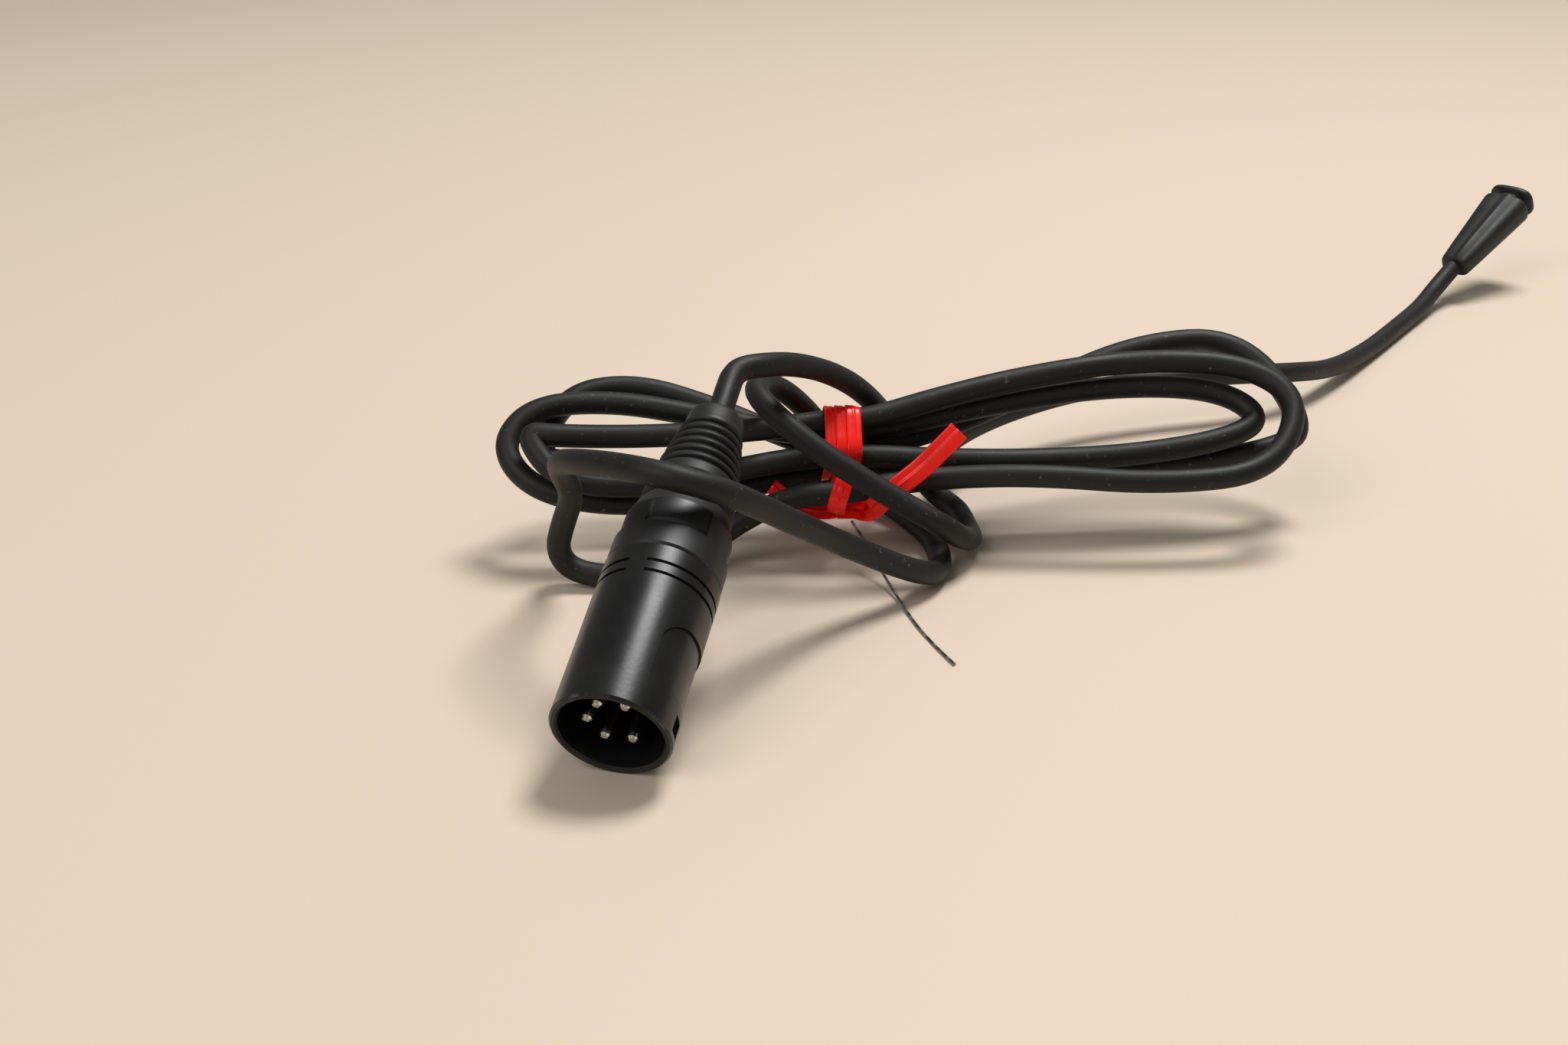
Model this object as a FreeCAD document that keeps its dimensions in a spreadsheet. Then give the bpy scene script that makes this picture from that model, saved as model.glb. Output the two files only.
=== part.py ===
import FreeCAD, Part
import os
import re
import Sketcher
from math import acos, cos, pi, radians, sin, tan
from FreeCAD import Placement, Rotation, Vector

# Headset lead: a male circular plug with five pins, its cable tied up as a hank, and the
# moulded strain relief at the far end. Millimetres. +Z is up and the lead lies on Z = 0.
# The plug points along -Y, nose down on its rim, and the middle of its base is the origin.
# Plug pieces are drawn about their own Z axis, which runs from the rim to the cable.

doc = FreeCAD.newDocument("HeadsetLead")


# Driving dimensions
SIZES = {
    # plug as a whole
    "plug_tilt": 24.0,
    "rim_setback": 29.55,
    "running_gap": 0.05,
    "fit_gap": 0.1,
    "soft_gap": 0.3,
    # metal shell
    "shell_diameter": 19.0,
    "shell_length": 30.4,
    "socket_wall": 1.3,
    "rear_wall": 0.9,
    "rear_bore_depth": 9.4,
    "rim_chamfer": 0.35,
    "ring_groove_depth": 0.35,
    "ring_groove_width": 0.6,
    "ring_groove_front": 24.4,
    "ring_groove_pitch": 2.1,
    "ring_groove_sweep": 102.0,
    "ring_groove_turn": 81.0,
    "thumb_recess_depth": 0.3,
    "thumb_recess_width": 15.4,
    "thumb_recess_start": 6.0,
    "thumb_recess_end": 17.6,
    "thumb_recess_corner": 4.0,
    "latch_window_width": 2.8,
    "latch_window_length": 3.0,
    "latch_window_start": 1.2,
    # contact insert
    "insert_face_depth": 14.6,
    "insert_flange_thickness": 2.0,
    "insert_tail_diameter": 12.6,
    "insert_tail_length": 3.2,
    "insert_dish_depth": 0.6,
    "insert_rim_width": 1.2,
    "key_width": 2.2,
    "key_height": 1.1,
    "key_length": 4.6,
    # contact pins
    "pin_count": 5,
    "pin_spacing": 60.0,
    "pin_diameter": 2.0,
    "pin_seat_diameter": 2.4,
    "pin_circle_radius": 4.4,
    "pin_recess": 2.2,
    "cup_diameter": 2.2,
    "cup_bore": 1.5,
    "cup_length": 3.6,
    "cup_bore_depth": 2.6,
    # shell earth contact, a bent leaf in the side of the insert
    "earth_leaf_width": 2.4,
    "earth_leaf_thickness": 0.4,
    "earth_leaf_length": 5.6,
    # clamping chuck
    "chuck_length": 16.6,
    "chuck_diameter": 13.6,
    "chuck_sleeve_wall": 0.9,
    "chuck_sleeve_length": 5.4,
    "chuck_nose_diameter": 8.0,
    "chuck_cone_length": 6.2,
    "chuck_slot_width": 1.2,
    "chuck_slot_length": 9.0,
    "chuck_slot_count": 4,
    # rear nut
    "nut_spigot_length": 7.0,
    "nut_barrel_length": 9.6,
    "nut_barrel_step": 0.1,
    "nut_shoulder_step": 1.5,
    "nut_shoulder_length": 3.6,
    "nut_stem_diameter": 11.6,
    "nut_stem_length": 6.0,
    "nut_grip_start": 4.6,
    "nut_grip_slope": 1.2,
    "nut_grip_depth": 0.5,
    "nut_grip_sweep": 64.0,
    "nut_grip_turn": 15.0,
    "nut_grip_count": 4,
    # rubber boot on the nut
    "boot_length": 23.4,
    "boot_front_diameter": 15.8,
    "boot_groove_back": 4.4,
    "boot_groove_width": 0.7,
    "boot_groove_depth": 0.5,
    "boot_rib_start": 7.6,
    "boot_rib_count": 6,
    "boot_rib_pitch": 2.05,
    "boot_notch_width": 0.85,
    "boot_notch_depth": 0.75,
    "boot_rib_front_diameter": 14.4,
    "boot_rear_diameter": 10.2,
    "boot_collar_diameter": 9.8,
    "boot_rear_round": 0.8,
    # cable and its five cores
    "cable_diameter": 4.3,
    "cable_straight_length": 41.4,
    "core_diameter": 0.9,
    "core_circle_radius": 1.1,
    "core_end_gap": 0.5,
    # hank
    "hank_turns": 3,
    "strand_pitch": 5.1,
    "strand_rise": 3.0,
    "strand_opening": 2.2,
    "waist_share": 0.06,
    "waist_across": 13.3,
    "waist_back": 69.6,
    "waist_height": 18.0,
    "hank_heading": 19.5,
    "hank_lean": 40.0,
    "end_lift": 4.0,
    "first_strand_drop": 8.0,
    "first_strand_front": 4.5,
    "first_strand_share": 0.22,
    # twist tie
    "tie_wrap_width": 2.8,
    "tie_tail_width": 3.4,
    "tie_thickness": 0.4,
    "tie_ridge": 0.9,
    "tie_pitch": 2.95,
    "tie_turns": 3,
    "tie_slack": 0.55,
    "tie_wire_diameter": 0.5,
    # strain relief at the far end
    "relief_length": 26.0,
    "relief_front_width": 6.6,
    "relief_front_height": 5.6,
    "relief_back_width": 10.4,
    "relief_back_height": 8.2,
    "relief_ridge_width": 3.0,
    "relief_ridge_height": 0.9,
    "relief_neck_length": 2.0,
    "relief_neck_width": 6.4,
    "relief_flange_thickness": 1.8,
    "relief_flange_width": 11.0,
    "relief_flange_height": 8.6,
}

# How far each turn of the hank reaches and opens, one value per turn
RIGHT_REACH = (86.0, 77.0, 84.0)
RIGHT_RISE = (11.5, 9.5, 26.5)
RIGHT_DROP = (13.5, 8.5, 4.0)
LEFT_REACH = (54.0, 63.0, 57.0)
LEFT_RISE = (5.0, 12.5, 20.5)
LEFT_DROP = (8.0, 9.5, 5.0)
OPENING_POWER = (1.3, 1.3, 2.0)

# The plug's free cable, from the boot round the bundle twice, over the plug and under it
PLUG_CABLE_POINTS = (
    (4.0, 47.5, 41.0),
    (8.0, 56.5, 38.5),
    (12.5, 66.0, 34.0),
    (16.5, 75.5, 27.5),
    (19.5, 84.5, 19.0),
    (22.5, 90.0, 9.0),
    (28.0, 89.0, 2.8),
    (34.0, 83.0, 2.2),
    (39.5, 75.0, 2.2),
    (43.0, 66.0, 3.4),
    (41.5, 58.0, 7.0),
    (35.0, 54.5, 11.0),
    (28.0, 53.5, 15.0),
    (20.0, 52.0, 20.0),
    (12.5, 51.0, 25.0),
    (5.5, 52.5, 29.5),
    (0.0, 57.5, 32.0),
    (-1.0, 65.0, 31.5),
    (1.5, 72.5, 28.0),
    (5.5, 79.0, 21.0),
    (10.0, 84.0, 12.0),
    (16.0, 84.5, 4.0),
    (23.0, 79.5, 2.2),
    (30.0, 71.0, 2.2),
    (36.0, 61.5, 2.2),
    (38.0, 53.0, 2.2),
    (33.0, 45.5, 5.0),
    (22.5, 34.0, 14.0),
    (15.0, 18.5, 25.0),
    (9.0, 4.5, 34.6),
    (0.0, 0.5, 38.2),
    (-9.0, 4.5, 37.4),
    (-17.5, 10.5, 35.0),
    (-25.0, 17.0, 32.0),
    (-28.0, 25.0, 26.5),
    (-28.0, 32.0, 20.0),
    (-30.5, 35.0, 12.5),
    (-31.2, 35.8, 7.0),
    (-28.6, 36.3, 3.2),
    (-22.0, 37.2, 2.2),
    (-15.0, 39.8, 2.2),
    (-8.0, 46.0, 4.5),
    (-2.0, 53.0, 8.5),
)

# The cable that leaves the hank, along the table and up to the strain relief
LEAD_OUT_POINTS = (
    (28.5, 86.5, 10.2),
    (29.0, 98.5, 10.2),
    (36.5, 115.5, 10.3),
    (50.0, 131.5, 11.0),
    (66.0, 143.5, 11.0),
    (82.0, 152.0, 10.6),
    (95.5, 161.5, 9.0),
    (104.5, 180.0, 4.4),
    (113.0, 203.0, 2.2),
    (121.0, 225.5, 2.2),
    (126.5, 240.5, 2.6),
)
RELIEF_SEAT = (134.7, 257.5, 9.0)
RELIEF_HEADING = (0.497, 0.738, 0.457)


# Sheet and formulas
sheet = doc.addObject("Spreadsheet::Sheet", "Sizes")
for row, (name, number) in enumerate(SIZES.items(), start=1):
    sheet.set(f"A{row}", name)
    sheet.set(f"B{row}", str(number))
    sheet.setAlias(f"B{row}", name)
doc.recompute()


def size(name):
    """A driving dimension, read from the sheet."""
    return float(sheet.get(name))


def formula(text):
    """Turns 'shell_length + 2' into a formula that reads the sheet."""
    return re.sub(r"\b[a-z]+_[a-z_]+\b", lambda word: "Sizes." + word.group(0), text)


PARTS = []


def keep(item, label):
    """Gives a finished sub-part the name that its file takes."""
    item.Label = label
    PARTS.append(item)
    return item


# Sketches and bodies
def plane_of(body, role):
    """One of the body's own origin planes."""
    return next(item for item in body.Origin.OriginFeatures if item.Role == role)


def new_body(name):
    return doc.addObject("PartDesign::Body", name)


def new_sketch(body, name, role):
    sketch = body.newObject("Sketcher::SketchObject", name)
    sketch.AttachmentSupport = [(plane_of(body, role), "")]
    sketch.MapMode = "FlatFace"
    return sketch


def pin_point(sketch, curve, end, across, along):
    """Ties one end of a curve to a place given by two formulas."""
    for kind, text, axis in (("DistanceX", across, -2), ("DistanceY", along, -1)):
        if text == "0":
            sketch.addConstraint(Sketcher.Constraint("PointOnObject", curve, end, axis))
            continue
        index = sketch.addConstraint(Sketcher.Constraint(kind, -1, 1, curve, end, 1.0))
        sketch.setExpression(f"Constraints[{index}]", formula(text))


def draw_outline(sketch, corners):
    """A closed outline of straight lines through corners given as formulas."""
    count = len(corners)
    for i in range(count):
        start = Vector(10 + i, 5 + (i % 3), 0)
        end = Vector(11 + i, 5 + ((i + 1) % 3), 0)
        sketch.addGeometry(Part.LineSegment(start, end), False)
    for i in range(count):
        sketch.addConstraint(Sketcher.Constraint("Coincident", i, 2, (i + 1) % count, 1))
    for i, (across, along) in enumerate(corners):
        pin_point(sketch, i, 1, across, along)


def draw_circle(sketch, across, along, diameter):
    index = sketch.addGeometry(Part.Circle(Vector(1, 1, 0), Vector(0, 0, 1), 1.0), False)
    pin_point(sketch, index, 3, across, along)
    ring = sketch.addConstraint(Sketcher.Constraint("Diameter", index, 2.0))
    sketch.setExpression(f"Constraints[{ring}]", formula(diameter))


def turned(name, corners):
    """A body turned about its own Z axis from (radius, height) corners."""
    body = new_body(name)
    sketch = new_sketch(body, name + "_outline", "XZ_Plane")
    draw_outline(sketch, corners)
    turn = body.newObject("PartDesign::Revolution", name + "_turn")
    turn.Profile = sketch
    turn.ReferenceAxis = (sketch, ["V_Axis"])
    turn.Angle = 360.0
    doc.recompute()
    return body


def arc_cut(body, name, corners, facing, sweep):
    """Takes away an outline turned about the body's axis over part of a turn."""
    sketch = new_sketch(body, name + "_outline", "XZ_Plane")
    sketch.AttachmentOffset = Placement(Vector(0, 0, 0), Rotation(Vector(0, 1, 0), 0.0))
    sketch.setExpression("AttachmentOffset.Rotation.Angle", formula(facing) + " * 1 deg")
    draw_outline(sketch, corners)
    groove = body.newObject("PartDesign::Groove", name)
    groove.Profile = sketch
    groove.ReferenceAxis = (sketch, ["V_Axis"])
    groove.setExpression("Angle", formula(sweep))
    groove.Midplane = True
    return groove


def pocket(body, name, role, corners, length, reverse=False, midplane=False):
    """A straight cut of an outline drawn on one of the body's origin planes."""
    sketch = new_sketch(body, name + "_outline", role)
    draw_outline(sketch, corners)
    cut = body.newObject("PartDesign::Pocket", name)
    cut.Profile = sketch
    cut.setExpression("Length", formula(length))
    cut.Reversed = reverse
    cut.Midplane = midplane
    return cut


def around(body, feature, name, count):
    """Copies a feature evenly round the body's axis."""
    pattern = body.newObject("PartDesign::PolarPattern", name)
    pattern.Originals = [feature]
    pattern.Axis = (plane_axis(body), [""])
    pattern.Angle = 360.0
    pattern.setExpression("Occurrences", formula(count))
    body.Tip = pattern
    return pattern


def plane_axis(body):
    return next(item for item in body.Origin.OriginFeatures if item.Role == "Z_Axis")


def rectangle(left, bottom, right, top):
    return [(left, bottom), (right, bottom), (right, top), (left, top)]


# Where the plug lies: nose down, with the rim's lowest point on the table
def seat_in_plug(item):
    item.Placement = Placement(Vector(0, 0, 0), Rotation(Vector(1, 0, 0), size("plug_tilt") - 90))
    item.setExpression("Placement.Base.y", formula("-rim_setback"))
    item.setExpression("Placement.Base.z", formula(
        "shell_diameter / 2 * cos(plug_tilt * 1 deg) - rim_chamfer * sin(plug_tilt * 1 deg)"))
    item.setExpression("Placement.Rotation.Angle", formula("(plug_tilt - 90) * 1 deg"))
    return item


def plug_placement():
    tilt = size("plug_tilt")
    lift = (size("shell_diameter") / 2 * cos(radians(tilt))
            - size("rim_chamfer") * sin(radians(tilt)))
    base = Vector(0, -size("rim_setback"), lift)
    return Placement(base, Rotation(Vector(1, 0, 0), tilt - 90))


# Radii that follow from the shell, and heights along the plug counted from its rim
SOCKET_RADIUS = "(shell_diameter / 2 - socket_wall)"
REAR_BORE_RADIUS = "(shell_diameter / 2 - rear_wall)"
INSERT_RADIUS = f"({SOCKET_RADIUS} - fit_gap)"
BARREL_RADIUS = "(shell_diameter / 2 - nut_barrel_step)"
INSERT_SEAT = "(shell_length - rear_bore_depth)"
FLANGE_BACK = f"({INSERT_SEAT} + insert_flange_thickness)"
TAIL_BACK = f"({FLANGE_BACK} + insert_tail_length)"
CHUCK_FRONT = f"({TAIL_BACK} + soft_gap)"
CHUCK_BACK = f"({CHUCK_FRONT} + chuck_length)"
NUT_FRONT = "(shell_length - nut_spigot_length)"
NUT_FACE = "(shell_length + fit_gap)"
BARREL_BACK = f"({NUT_FACE} + nut_barrel_length)"
SHOULDER_BACK = f"({BARREL_BACK} + nut_shoulder_length)"
STEM_BACK = f"({SHOULDER_BACK} + nut_stem_length)"
BOOT_BACK = f"({SHOULDER_BACK} + boot_length)"


def height_of(text):
    """The number that a formula for a height along the plug gives."""
    probe.setExpression("Height", formula(text))
    doc.recompute()
    return probe.Height


probe = doc.addObject("App::FeaturePython", "HeightProbe")
probe.addProperty("App::PropertyFloat", "Height")


# Metal shell: open socket for the mating plug in front, clear bore for the nut behind
def make_shell():
    shell = turned("plug_shell_blank", [
        (f"{SOCKET_RADIUS} + rim_chamfer", "0"),
        ("shell_diameter / 2 - rim_chamfer", "0"),
        ("shell_diameter / 2", "rim_chamfer"),
        ("shell_diameter / 2", "shell_length - rim_chamfer"),
        ("shell_diameter / 2 - rim_chamfer", "shell_length"),
        (REAR_BORE_RADIUS, "shell_length"),
        (REAR_BORE_RADIUS, INSERT_SEAT),
        (SOCKET_RADIUS, INSERT_SEAT),
        (SOCKET_RADIUS, "rim_chamfer"),
    ])
    for number in range(2):
        front = f"ring_groove_front + {number} * ring_groove_pitch"
        groove = arc_cut(
            shell, f"ring_groove_{number + 1}",
            rectangle("shell_diameter / 2 - ring_groove_depth", front,
                      "shell_diameter / 2 + 1", f"{front} + ring_groove_width"),
            "ring_groove_turn", "ring_groove_sweep")
        around(shell, groove, f"ring_groove_{number + 1}_round", "3")
    pocket(shell, "latch_window", "YZ_Plane",
           rectangle("-latch_window_width / 2", "latch_window_start",
                     "latch_window_width / 2", "latch_window_start + latch_window_length"),
           "shell_diameter", reverse=True)
    doc.recompute()
    seat_in_plug(shell)
    return shell


def make_thumb_recess():
    """The shallow patch with round corners that is sunk in the shell's latch side."""
    half = size("thumb_recess_width") / 2
    front = size("thumb_recess_start")
    back = size("thumb_recess_end")
    corner = size("thumb_recess_corner")
    radius = size("shell_diameter") / 2
    outline = Part.makePolygon([
        Vector(0, -half, front), Vector(0, half, front),
        Vector(0, half, back), Vector(0, -half, back), Vector(0, -half, front)])
    prism = Part.Face(outline).extrude(Vector(radius + 1, 0, 0))
    back_edges = [
        edge for edge in prism.Edges
        if edge.BoundBox.XLength > radius and edge.CenterOfMass.z > back - 0.01]
    prism = prism.makeFillet(corner, back_edges)
    core = Part.makeCylinder(radius - size("thumb_recess_depth"), back + 2, Vector(0, 0, -1))
    recess = doc.addObject("Part::Feature", "ThumbRecess")
    recess.Shape = prism.cut(core)
    seat_in_plug(recess)
    return recess


shell_blank = make_shell()
thumb_recess = make_thumb_recess()
plug_shell = doc.addObject("Part::Cut", "PlugShell")
plug_shell.Base = shell_blank
plug_shell.Tool = thumb_recess
keep(plug_shell, "plug_shell")


# Insulating insert that carries the pins, with its key towards the latch side
def pin_angle(number):
    """Pins stand round the circle with a double gap at the key, which is on +X."""
    return size("pin_spacing") * (number + 1)


def make_insert():
    insert = turned("contact_insert", [
        ("0", "insert_face_depth + insert_dish_depth"),
        (f"{INSERT_RADIUS} - insert_rim_width", "insert_face_depth + insert_dish_depth"),
        (f"{INSERT_RADIUS} - insert_rim_width", "insert_face_depth"),
        (INSERT_RADIUS, "insert_face_depth"),
        (INSERT_RADIUS, INSERT_SEAT),
        (f"{REAR_BORE_RADIUS} - fit_gap", INSERT_SEAT),
        (f"{REAR_BORE_RADIUS} - fit_gap", FLANGE_BACK),
        ("insert_tail_diameter / 2", FLANGE_BACK),
        ("insert_tail_diameter / 2", TAIL_BACK),
        ("0", TAIL_BACK),
    ])
    for number in range(int(size("pin_count"))):
        sketch = new_sketch(insert, f"pin_hole_{number + 1}_outline", "XY_Plane")
        angle = pin_angle(number)
        draw_circle(sketch, f"pin_circle_radius * {cos(radians(angle)):.6f}",
                    f"pin_circle_radius * {sin(radians(angle)):.6f}", "pin_seat_diameter")
        hole = insert.newObject("PartDesign::Pocket", f"pin_hole_{number + 1}")
        hole.Profile = sketch
        hole.Type = 1
        hole.Reversed = True
    key_outline = new_sketch(insert, "key_outline", "XZ_Plane")
    draw_outline(key_outline, rectangle(
        f"{INSERT_RADIUS} - key_height", "insert_face_depth - key_length",
        INSERT_RADIUS, "insert_face_depth + insert_dish_depth + 1"))
    key = insert.newObject("PartDesign::Pad", "key")
    key.Profile = key_outline
    key.setExpression("Length", formula("key_width"))
    key.Midplane = True
    pocket(insert, "leaf_slot", "XZ_Plane",
           rectangle(f"-{INSERT_RADIUS} - 1", f"{INSERT_SEAT} - earth_leaf_length",
                     f"-({INSERT_RADIUS} - earth_leaf_thickness - fit_gap)", f"{FLANGE_BACK} + 1"),
           "earth_leaf_width + 2 * fit_gap", midplane=True)
    doc.recompute()
    return keep(seat_in_plug(insert), "contact_insert")


def make_pin(number):
    """A round contact: domed tip, shank through the insert and solder cup behind."""
    angle = pin_angle(number)
    body = turned(f"contact_pin_{number + 1}", [
        ("0", "pin_recess"),
        ("pin_diameter * 0.28", "pin_recess + pin_diameter * 0.05"),
        ("pin_diameter * 0.43", "pin_recess + pin_diameter * 0.22"),
        ("pin_diameter / 2", "pin_recess + pin_diameter * 0.5"),
        ("pin_diameter / 2", "insert_face_depth + insert_dish_depth"),
        ("pin_seat_diameter / 2", "insert_face_depth + insert_dish_depth"),
        ("pin_seat_diameter / 2", TAIL_BACK),
        ("cup_diameter / 2", TAIL_BACK),
        ("cup_diameter / 2", f"{TAIL_BACK} + cup_length"),
        ("cup_bore / 2", f"{TAIL_BACK} + cup_length"),
        ("cup_bore / 2", f"{TAIL_BACK} + cup_length - cup_bore_depth"),
        ("0", f"{TAIL_BACK} + cup_length - cup_bore_depth"),
    ])
    pocket(body, "cup_mouth", "YZ_Plane",
           rectangle("-cup_diameter", f"{TAIL_BACK} + cup_length - cup_bore_depth",
                     "cup_diameter", f"{TAIL_BACK} + cup_length + 1"),
           "cup_diameter", reverse=False)
    doc.recompute()
    local = Placement(Vector(0, 0, 0), Rotation(Vector(0, 0, 1), angle))
    offset = Placement(Vector(size("pin_circle_radius"), 0, 0), Rotation())
    body.Placement = plug_placement().multiply(local).multiply(offset)
    return keep(body, f"contact_pin_{number + 1}")


def make_earth_leaf():
    """A leaf that joins the shell to the insert's earth side."""
    leaf = doc.addObject("Part::Box", "EarthLeaf")
    leaf.setExpression("Length", formula("earth_leaf_thickness"))
    leaf.setExpression("Width", formula("earth_leaf_width"))
    leaf.setExpression("Height", formula("earth_leaf_length + insert_flange_thickness"))
    front = height_of(INSERT_SEAT) - size("earth_leaf_length")
    corner = Vector(-height_of(INSERT_RADIUS), -size("earth_leaf_width") / 2, front)
    leaf.Placement = plug_placement().multiply(Placement(corner, Rotation()))
    return keep(leaf, "earth_leaf")


make_insert()
for pin_number in range(int(size("pin_count"))):
    make_pin(pin_number)
make_earth_leaf()


# Chuck: a hollow sleeve over the solder cups and a slotted cone that grips the cable
def make_chuck():
    bore = "cable_diameter / 2 + running_gap"
    cone_start = f"({CHUCK_BACK} - chuck_cone_length)"
    sleeve_back = f"({CHUCK_FRONT} + chuck_sleeve_length)"
    chuck = turned("cable_chuck", [
        ("chuck_diameter / 2 - chuck_sleeve_wall", CHUCK_FRONT),
        ("chuck_diameter / 2", CHUCK_FRONT),
        ("chuck_diameter / 2", cone_start),
        ("chuck_nose_diameter / 2", CHUCK_BACK),
        (bore, CHUCK_BACK),
        (bore, sleeve_back),
        ("chuck_diameter / 2 - chuck_sleeve_wall", sleeve_back),
    ])
    slot = pocket(chuck, "grip_slot", "YZ_Plane",
                  rectangle("-chuck_slot_width / 2", f"{CHUCK_BACK} - chuck_slot_length",
                            "chuck_slot_width / 2", f"{CHUCK_BACK} + 1"),
                  "chuck_diameter", reverse=True)
    around(chuck, slot, "grip_slots", "chuck_slot_count")
    doc.recompute()
    return keep(seat_in_plug(chuck), "cable_chuck")


# Rear nut: its spigot screws into the shell and its cone closes the chuck on the cable
def make_nut():
    chuck_clear = "chuck_diameter / 2 + fit_gap"
    cone_start = f"({CHUCK_BACK} - chuck_cone_length + fit_gap)"
    cone_end = f"({CHUCK_BACK} + fit_gap)"
    cable_clear = "cable_diameter / 2 + soft_gap"
    nut = turned("nut_blank", [
        (chuck_clear, NUT_FRONT),
        (f"{REAR_BORE_RADIUS} - running_gap", NUT_FRONT),
        (f"{REAR_BORE_RADIUS} - running_gap", NUT_FACE),
        (f"{BARREL_RADIUS} - rim_chamfer", NUT_FACE),
        (BARREL_RADIUS, f"{NUT_FACE} + rim_chamfer"),
        (BARREL_RADIUS, f"{BARREL_BACK} - rim_chamfer"),
        (f"{BARREL_RADIUS} - rim_chamfer", BARREL_BACK),
        (f"{BARREL_RADIUS} - nut_shoulder_step", SHOULDER_BACK),
        ("nut_stem_diameter / 2", SHOULDER_BACK),
        ("nut_stem_diameter / 2", STEM_BACK),
        (cable_clear, STEM_BACK),
        (cable_clear, cone_end),
        ("chuck_nose_diameter / 2 + fit_gap", cone_end),
        (chuck_clear, cone_start),
    ])
    grip_front = f"({NUT_FACE} + nut_grip_start)"
    grip = arc_cut(nut, "finger_grip", [
        (f"{BARREL_RADIUS} + 1", grip_front),
        (BARREL_RADIUS, grip_front),
        (f"{BARREL_RADIUS} - nut_grip_depth", f"{grip_front} + nut_grip_slope"),
        (f"{BARREL_RADIUS} - nut_grip_depth", SHOULDER_BACK),
        (f"{BARREL_RADIUS} + 1", SHOULDER_BACK),
    ], "nut_grip_turn", "nut_grip_sweep")
    around(nut, grip, "finger_grips", "nut_grip_count")
    doc.recompute()
    return nut


# Rubber boot: smooth front band, ribs on a taper, plain collar at the cable
def make_boot():
    front = SHOULDER_BACK
    groove = f"({front} + boot_groove_back)"
    corners = [
        ("nut_stem_diameter / 2", front),
        ("boot_front_diameter / 2", front),
        ("boot_front_diameter / 2 - boot_groove_depth / 2", groove),
        ("boot_front_diameter / 2 - boot_groove_depth * 1.5", groove),
        ("boot_front_diameter / 2 - boot_groove_depth * 1.5", f"{groove} + boot_groove_width"),
        ("boot_front_diameter / 2 - boot_groove_depth / 2", f"{groove} + boot_groove_width"),
    ]
    count = int(size("boot_rib_count"))
    for number in range(count):
        along = f"({front} + boot_rib_start + {number} * boot_rib_pitch)"
        radius = (f"(boot_rib_front_diameter / 2 + (boot_rear_diameter - boot_rib_front_diameter)"
                  f" / 2 * {number} / boot_rib_count)")
        corners += [
            (radius, f"{along} - boot_notch_width * 0.2"),
            (f"{radius} - boot_notch_depth", f"{along} + boot_notch_width * 0.2"),
            (f"{radius} - boot_notch_depth", f"{along} + boot_notch_width * 0.8"),
            (f"{radius} - boot_notch_depth * 0.15", f"{along} + boot_notch_width * 1.2"),
        ]
    corners += [
        ("boot_rear_diameter / 2", f"{front} + boot_rib_start + boot_rib_count * boot_rib_pitch"),
        ("boot_collar_diameter / 2", f"{BOOT_BACK} - boot_rear_round"),
        ("boot_collar_diameter / 2 - boot_rear_round * 0.3", f"{BOOT_BACK} - boot_rear_round * 0.3"),
        ("boot_collar_diameter / 2 - boot_rear_round", BOOT_BACK),
        ("cable_diameter / 2 + soft_gap", BOOT_BACK),
        ("cable_diameter / 2 + soft_gap", STEM_BACK),
        ("nut_stem_diameter / 2", STEM_BACK),
    ]
    boot = turned("rubber_boot", corners)
    return keep(seat_in_plug(boot), "rubber_boot")


make_chuck()
nut_blank = make_nut()
seat_in_plug(nut_blank)
nut_bore = doc.addObject("Part::Cylinder", "NutBore")
nut_bore.setExpression("Radius", formula("chuck_diameter / 2 + fit_gap"))
nut_bore.setExpression("Height", formula(f"{CHUCK_BACK} - chuck_cone_length - {NUT_FRONT}"))
nut_bore.Placement = plug_placement().multiply(
    Placement(Vector(0, 0, height_of(NUT_FRONT)), Rotation()))
rear_nut = doc.addObject("Part::Cut", "RearNut")
rear_nut.Base = nut_blank
rear_nut.Tool = nut_bore
keep(rear_nut, "rear_nut")
make_boot()


# Paths of straight runs and arcs
def arc_to(start, heading, end):
    """The arc that leaves start along heading and ends at end, or a line if it is straight."""
    chord = end - start
    length = chord.Length
    chord_way = chord / length
    side = heading - chord_way * heading.dot(chord_way)
    if side.Length < 1e-6:
        return Part.LineSegment(start, end)
    angle = acos(max(-1.0, min(1.0, heading.dot(chord_way))))
    side.normalize()
    middle = (start + end) * 0.5 + side * (length / 2 * tan(angle / 2))
    return Part.Arc(start, middle, end)


def rounded_route(points):
    """Straight runs joined by arcs as large as their runs allow, with the arcs' radii."""
    curves = []
    radii = []
    at = points[0]
    for i in range(1, len(points) - 1):
        before = points[i] - points[i - 1]
        after = points[i + 1] - points[i]
        reach = 0.45 * min(before.Length, after.Length)
        way_in = before / before.Length
        way_out = after / after.Length
        turn = acos(max(-1.0, min(1.0, way_in.dot(way_out))))
        radii.append(reach / tan(turn / 2))
        start = points[i] - way_in * reach
        end = points[i] + way_out * reach
        curves.append(Part.LineSegment(at, start))
        curves.append(arc_to(start, way_in, end))
        at = end
    curves.append(Part.LineSegment(at, points[-1]))
    return curves, radii


def biarc(start, start_way, end, end_way):
    """Two arcs that meet smoothly between two points with given headings."""
    chord = end - start
    both = start_way + end_way
    square = 2 * (1 - start_way.dot(end_way))
    along = chord.dot(both)
    if square < 1e-9:
        reach = chord.Length / 2
    else:
        reach = (-along + (along * along + square * chord.dot(chord)) ** 0.5) / square
    joint = (start + end + (start_way - end_way) * reach) * 0.5
    joint_way = joint - start - start_way * reach
    joint_way.normalize()
    return [arc_to(start, start_way, joint), arc_to(joint, joint_way, end)]


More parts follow.
